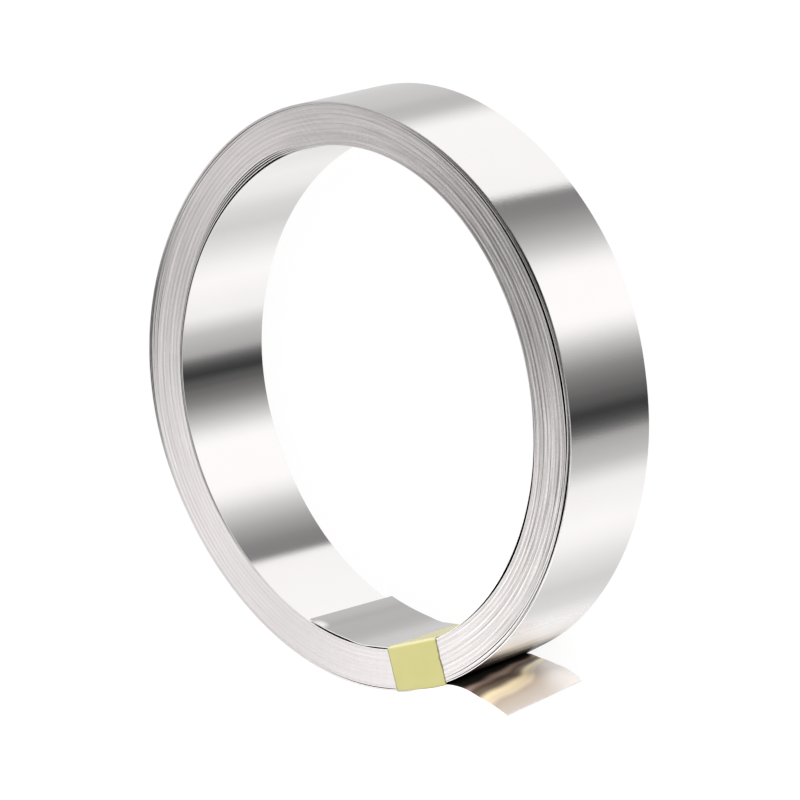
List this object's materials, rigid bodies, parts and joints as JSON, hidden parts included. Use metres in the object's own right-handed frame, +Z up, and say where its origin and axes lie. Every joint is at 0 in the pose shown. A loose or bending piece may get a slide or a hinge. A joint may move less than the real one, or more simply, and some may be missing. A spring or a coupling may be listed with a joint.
{
  "type": "nickel strip coil",
  "caption": "Coil of thin nickel strip for joining battery cells, lying on one end, with a free tail and a wrap of clear yellow tape.",
  "frame": {"origin": "centre of the coil's eye, at the middle of the strip's width", "axes": "+Z up along the coil's axis, out of the face that the picture shows; -Y towards the wrap of tape; +X towards the side on which the free tail lies"},
  "size_m": [0.1042, 0.1042, 0.0202],
  "materials": {
    "nickel": "bright rolled nickel with a fine grain along the strip",
    "tape": "thin translucent pale yellow film"
  },
  "bodies": {
    "root": {"nickel_strip": "nickel", "tape_band": "tape"}
  },
  "joints": []
}
